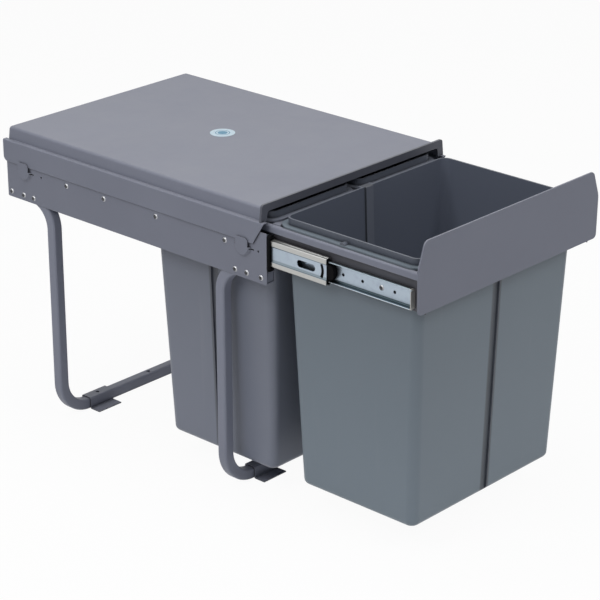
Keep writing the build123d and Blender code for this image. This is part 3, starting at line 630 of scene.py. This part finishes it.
def makeStickerFace():
    # pale foil disc with a plain printed spot and a thin ring round it
    look = {
        "middle": (5.6 * mm, 6.6 * mm), "radius": 16.5 * mm,
        "foil": (0.44, 0.57, 0.66), "foilLight": (0.54, 0.67, 0.75), "print": (0.04, 0.21, 0.34),
        "ring": (0.52, 0.60), "spot": 0.40,   # shares of the radius
        "roughness": (0.22, 0.38), "metal": 0.15,
    }
    finish, tree, shader = startFinish("stickerFace")
    centre = addNode(tree, "ShaderNodeMapping", (-900, 100))
    feed(tree, centre.inputs["Vector"], objectIn(tree, (-1100, 100)))
    feed(tree, centre.inputs["Location"], (-look["middle"][0], -look["middle"][1], 0))
    acrossDisc = (1 / look["radius"], 1 / look["radius"], 0)
    flat = vectorIn(tree, "MULTIPLY", (-700, 100), centre.outputs[0], acrossDisc)
    radius = vectorIn(tree, "LENGTH", (-500, 100), flat)
    pastInner = mathIn(tree, "GREATER_THAN", (-300, 160), radius, look["ring"][0])
    beforeOuter = mathIn(tree, "LESS_THAN", (-300, 0), radius, look["ring"][1])
    ring = mathIn(tree, "MULTIPLY", (-150, 80), pastInner, beforeOuter)
    spot = mathIn(tree, "LESS_THAN", (-300, -160), radius, look["spot"])
    printed = mathIn(tree, "MAXIMUM", (0, 80), ring, spot)
    film = noiseIn(tree, (-600, 400), scale=260.0, detail=4)
    foil = mixIn(tree, (-300, 400), film, look["foil"], look["foilLight"])
    tree.links.new(mixIn(tree, (100, 200), printed, foil, look["print"]), shader["Base Color"])
    rough = rangeIn(tree, (100, -100), film, to=look["roughness"])
    tree.links.new(rough, shader["Roughness"])
    shader["Metallic"].default_value = look["metal"]
    return finish


zincTones = ((0.37, 0.44, 0.51), (0.47, 0.54, 0.62), (0.33, 0.37, 0.46))
cageTones = ((0.60, 0.60, 0.58), (0.70, 0.70, 0.69), (0.50, 0.49, 0.46))
ballTones = ((0.72, 0.71, 0.68), (0.86, 0.86, 0.86))
halfwayUp = 200 * mm   # a height inside all the bins
frontGroove = {"axis": "X", "middle": 0.0, "binMiddle": (0, -353.1 * mm, halfwayUp)}
finishes = {
    "painted_steel": makeCoatedSteel(),
    "zinc_steel": makeZincPlate("zincPlate", zincTones, 0.34, shadedBackFrom=167.95 * mm),
    "cage_steel": makeZincPlate("cageStrip", cageTones, 0.28),
    "ball_steel": makeFilmSteel("ballSteel", ballTones, (0.08, 0.24), scale=700.0, detail=3),
    "rivet_steel": makeRivetSteel(),
    "bin_plastic": makeBinMould("binMould", frontGroove),
    "black_plastic": makeStopPlastic(),
    "label": makeStickerFace(),
}


def zone(sides, low, high, soft, least, tone):
    # millimetres, "both" also mirrors the band below the strip's middle
    return {"sides": sides, "low": low * mm, "high": high * mm, "soft": soft * mm,
            "least": least, "tone": tone}


# the middle sections' long edges are paler and warmer, with a painted shadow line at the step
# inside them and painted shade on the web above the lower step
middleSlideZinc = makeZincPlate("middleSlideZinc", zincTones, 0.30, bands=(
    zone("both", 10.4, 24, soft=0.3, least=0.7, tone=(0.50, 0.49, 0.46)),
    zone("both", 9.2, 10.2, soft=0.3, least=0.7, tone=(0.07, 0.09, 0.10)),
    zone("own", -9.4, -6.6, soft=0.8, least=0.5, tone=(0.20, 0.25, 0.28)),
))
# the inner sections: painted shade in the lower fold, a painted highlight on its lip, painted
# shade on the upper fold and a painted highlight on the front end
innerNose = {"upTo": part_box("left_inner_slide")[0].y + 2.6 * mm, "tone": (0.46, 0.45, 0.42)}
innerSlideZinc = makeZincPlate("innerSlideZinc", zincTones, 0.34, nose=innerNose, bands=(
    zone("own", -11.8, -9.3, soft=0.3, least=0.75, tone=(0.045, 0.075, 0.085)),
    zone("own", -24, -12.3, soft=0.2, least=0.8, tone=(0.80, 0.78, 0.74)),
    zone("own", 10.6, 24, soft=0.5, least=0.6, tone=(0.24, 0.29, 0.32)),
))
rearBins = {
    "place": -124.1 * mm, "aside": 78.55 * mm,
    "body": (0.188, 0.204, 0.254), "pale": (0.208, 0.226, 0.278),
}
sideBinMould = {}
for hand, side in (("left", -1), ("right", 1)):
    binMiddle = (side * rearBins["aside"], rearBins["place"], halfwayUp)
    groove = {"axis": "Y", "middle": rearBins["place"], "binMiddle": binMiddle}
    sideBinMould[hand] = makeBinMould(
        hand + "BinMould", groove, rearBins["body"], rearBins["pale"]
    )
# the lid, panels and legs share one paint: their depths paint light and shade onto it; the edge
# strip is darker of its own
lidCoat = makeCoatedSteel("lidCoat", 0.97, seamShadeAmount=0.15)
darkEdging = makeCoatedSteel("darkEdging", 0.44)
panelCoat = makeCoatedSteel("panelCoat", 0.93)
legCoat = makeCoatedSteel("legCoat", 1.14)
# the rails get a painted shadow on their plates under the skirts
shadedRail = makeCoatedSteel("shadedRail", skirtShadow={"below": 370.5 * mm, "inside": 156.0 * mm})
ownFinish = {
    "left_middle_slide": middleSlideZinc, "right_middle_slide": middleSlideZinc,
    "left_inner_slide": innerSlideZinc, "right_inner_slide": innerSlideZinc,
    "rear_left_bin": sideBinMould["left"], "rear_right_bin": sideBinMould["right"],
    "lid": lidCoat, "lid_edge_strip": darkEdging,
    "left_rail": shadedRail, "right_rail": shadedRail,
    "left_side_panel": panelCoat, "right_side_panel": panelCoat, "front_panel": panelCoat,
    "front_leg": legCoat, "rear_leg": legCoat,
}
for entry in frame["record"]["subparts"]:
    mesh = nodes[entry["node"]].data
    finish = ownFinish.get(entry["node"], finishes[entry["material_slot"]])
    if mesh.materials:
        for index in range(len(mesh.materials)):
            mesh.materials[index] = finish
    else:
        mesh.materials.append(finish)


# pin stubs left in the hollow rivets, made where the rivets' own meshes say

rivetStubs = {
    "sizes": {
        "Stub Radius": 1.0 * mm, "Stub Length": 2.2 * mm,
        "Tip Radius": 0.55 * mm, "Tip Length": 0.5 * mm,
    },
    "sides": 20,
    "apart": 1.0 * mm,   # rivets lie in rows along Y, a gap wider than this parts two of them
    "pieces": {
        "frameRivetStubs": ("frame", (
            "left_leg_rivets", "right_leg_rivets", "left_slide_rivets", "right_slide_rivets",
        )),
        "drawerRivetStubs": ("drawer", ("left_drawer_rivets", "right_drawer_rivets")),
    },
}


def rivetPlaces(nodeName):
    corners = sorted((tuple(v.co) for v in nodes[nodeName].data.vertices), key=lambda co: co[1])
    rivets = [[corners[0]]]
    for corner in corners[1:]:
        if corner[1] - rivets[-1][-1][1] > rivetStubs["apart"]:
            rivets.append([])
        rivets[-1].append(corner)
    return [[(min(axis) + max(axis)) / 2 for axis in zip(*rivet)] for rivet in rivets]


def buildStubTree():
    tree = bpy.data.node_groups.new("rivetStubs", "GeometryNodeTree")
    tree.is_modifier = True
    tree.interface.new_socket("Places", in_out="INPUT", socket_type="NodeSocketGeometry")
    for label, value in rivetStubs["sizes"].items():
        socket = tree.interface.new_socket(label, in_out="INPUT", socket_type="NodeSocketFloat")
        socket.default_value = value
    tree.interface.new_socket("Finish", in_out="INPUT", socket_type="NodeSocketMaterial")
    tree.interface.new_socket("Stubs", in_out="OUTPUT", socket_type="NodeSocketGeometry")
    start = addNode(tree, "NodeGroupInput", (-900, 0)).outputs
    end = addNode(tree, "NodeGroupOutput", (900, 0))
    shank = addNode(tree, "GeometryNodeMeshCylinder", (-500, 200))
    feed(tree, shank.inputs["Vertices"], rivetStubs["sides"])
    feed(tree, shank.inputs["Radius"], start["Stub Radius"])
    feed(tree, shank.inputs["Depth"], start["Stub Length"])
    parts = [shank.outputs["Mesh"]]
    reach = mathIn(tree, "MULTIPLY", (-700, -200), start["Stub Length"], 0.5)
    for side in (1, -1):
        # broken-off tip on each end
        row = -200 * side - 200
        tip = addNode(tree, "GeometryNodeMeshCone", (-500, row))
        feed(tree, tip.inputs["Vertices"], rivetStubs["sides"])
        feed(tree, tip.inputs["Radius Top"], start["Tip Radius"])
        feed(tree, tip.inputs["Radius Bottom"], start["Stub Radius"])
        feed(tree, tip.inputs["Depth"], start["Tip Length"])
        height = addNode(tree, "ShaderNodeCombineXYZ", (-350, row - 100))
        feed(tree, height.inputs["Z"], mathIn(tree, "MULTIPLY", (-520, row - 200), reach, side))
        move = addNode(tree, "GeometryNodeTransform", (-200, row))
        move.inputs["Rotation"].default_value = (0 if side > 0 else math.pi, 0, 0)
        feed(tree, move.inputs["Translation"], height.outputs[0])
        feed(tree, move.inputs["Geometry"], tip.outputs["Mesh"])
        parts.append(move.outputs[0])
    join = addNode(tree, "GeometryNodeJoinGeometry", (0, 100))
    for part in parts:
        tree.links.new(part, join.inputs[0])
    lay = addNode(tree, "GeometryNodeTransform", (180, 100))
    lay.inputs["Rotation"].default_value = (0, math.pi / 2, 0)   # along X like the rivets
    tree.links.new(join.outputs[0], lay.inputs["Geometry"])
    scatter = addNode(tree, "GeometryNodeInstanceOnPoints", (380, 0))
    real = addNode(tree, "GeometryNodeRealizeInstances", (560, 0))
    coat = addNode(tree, "GeometryNodeSetMaterial", (730, 0))
    tree.links.new(start["Places"], scatter.inputs["Points"])
    tree.links.new(lay.outputs[0], scatter.inputs["Instance"])
    tree.links.new(scatter.outputs[0], real.inputs[0])
    tree.links.new(real.outputs[0], coat.inputs["Geometry"])
    tree.links.new(start["Finish"], coat.inputs["Material"])
    tree.links.new(coat.outputs[0], end.inputs[0])
    return tree


def socketKey(tree, label):
    for item in tree.interface.items_tree:
        if item.item_type == "SOCKET" and item.in_out == "INPUT" and item.name == label:
            return item.identifier
    raise KeyError(label)


def makePlain(piece):
    # modifier result as a plain mesh on the same object
    piece.data.update()
    bpy.context.view_layer.update()
    shown = piece.evaluated_get(bpy.context.evaluated_depsgraph_get())
    mesh = bpy.data.meshes.new_from_object(shown)
    piece.modifiers.clear()
    piece.data = mesh
    mesh.name = piece.name


stubTree = buildStubTree()
stubTones = ((0.05, 0.05, 0.05), (0.14, 0.135, 0.13))
stubFinish = makeFilmSteel("stubSteel", stubTones, (0.38, 0.6), scale=900.0, detail=4, metal=0.8)
for pieceName, (body, rivetNodes) in rivetStubs["pieces"].items():
    places = [place for nodeName in rivetNodes for place in rivetPlaces(nodeName)]
    mesh = bpy.data.meshes.new(pieceName)
    mesh.from_pydata(places, [], [])
    piece = bpy.data.objects.new(pieceName, mesh)
    scene.collection.objects.link(piece)
    pins = piece.modifiers.new("rivetStubs", "NODES")
    pins.node_group = stubTree
    for label, value in rivetStubs["sizes"].items():
        pins[socketKey(stubTree, label)] = value
    pins[socketKey(stubTree, "Finish")] = stubFinish
    makePlain(piece)
    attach(piece, body)
    print(pieceName, "made,", len(places), "stubs")


# the legs' tubes are closed a little behind their mouths

tubeEnds = {
    "tube": 15.0 * mm, "wall": 1.4 * mm, "thick": 1.0 * mm, "behind": 0.5 * mm, "soft": 0.35 * mm,
    "mouths": (("front_leg", -1), ("rear_leg", 1)),   # leg, which way its open ends face along Y
}


def addBlock(bm, low, high, soft):
    corners = bmesh.ops.create_cube(bm, size=1.0)["verts"]
    for corner in corners:
        corner.co = [low[i] + (corner.co[i] + 0.5) * (high[i] - low[i]) for i in range(3)]
    edges = list({edge for corner in corners for edge in corner.link_edges})
    bmesh.ops.bevel(bm, geom=edges, offset=soft, segments=2, profile=0.5, affect="EDGES")


bm = bmesh.new()
half = tubeEnds["tube"] / 2 - tubeEnds["wall"]
for leg, way in tubeEnds["mouths"]:
    low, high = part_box(leg)
    mouth = low.y if way < 0 else high.y
    front = mouth - way * tubeEnds["behind"]
    nearY, farY = sorted((front, front - way * tubeEnds["thick"]))
    middleZ = high.z - tubeEnds["tube"] / 2
    for side in (-1, 1):
        middleX = side * (high.x - tubeEnds["tube"] / 2)
        addBlock(
            bm, (middleX - half, nearY, middleZ - half), (middleX + half, farY, middleZ + half),
            tubeEnds["soft"],
        )
bmesh.ops.recalc_face_normals(bm, faces=bm.faces)
mesh = bpy.data.meshes.new("legTubeEnds")
bm.to_mesh(mesh)
bm.free()
mesh.materials.append(legCoat)
piece = bpy.data.objects.new("legTubeEnds", mesh)
scene.collection.objects.link(piece)
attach(piece, "frame")
print("legTubeEnds made,", 2 * len(tubeEnds["mouths"]), "ends")
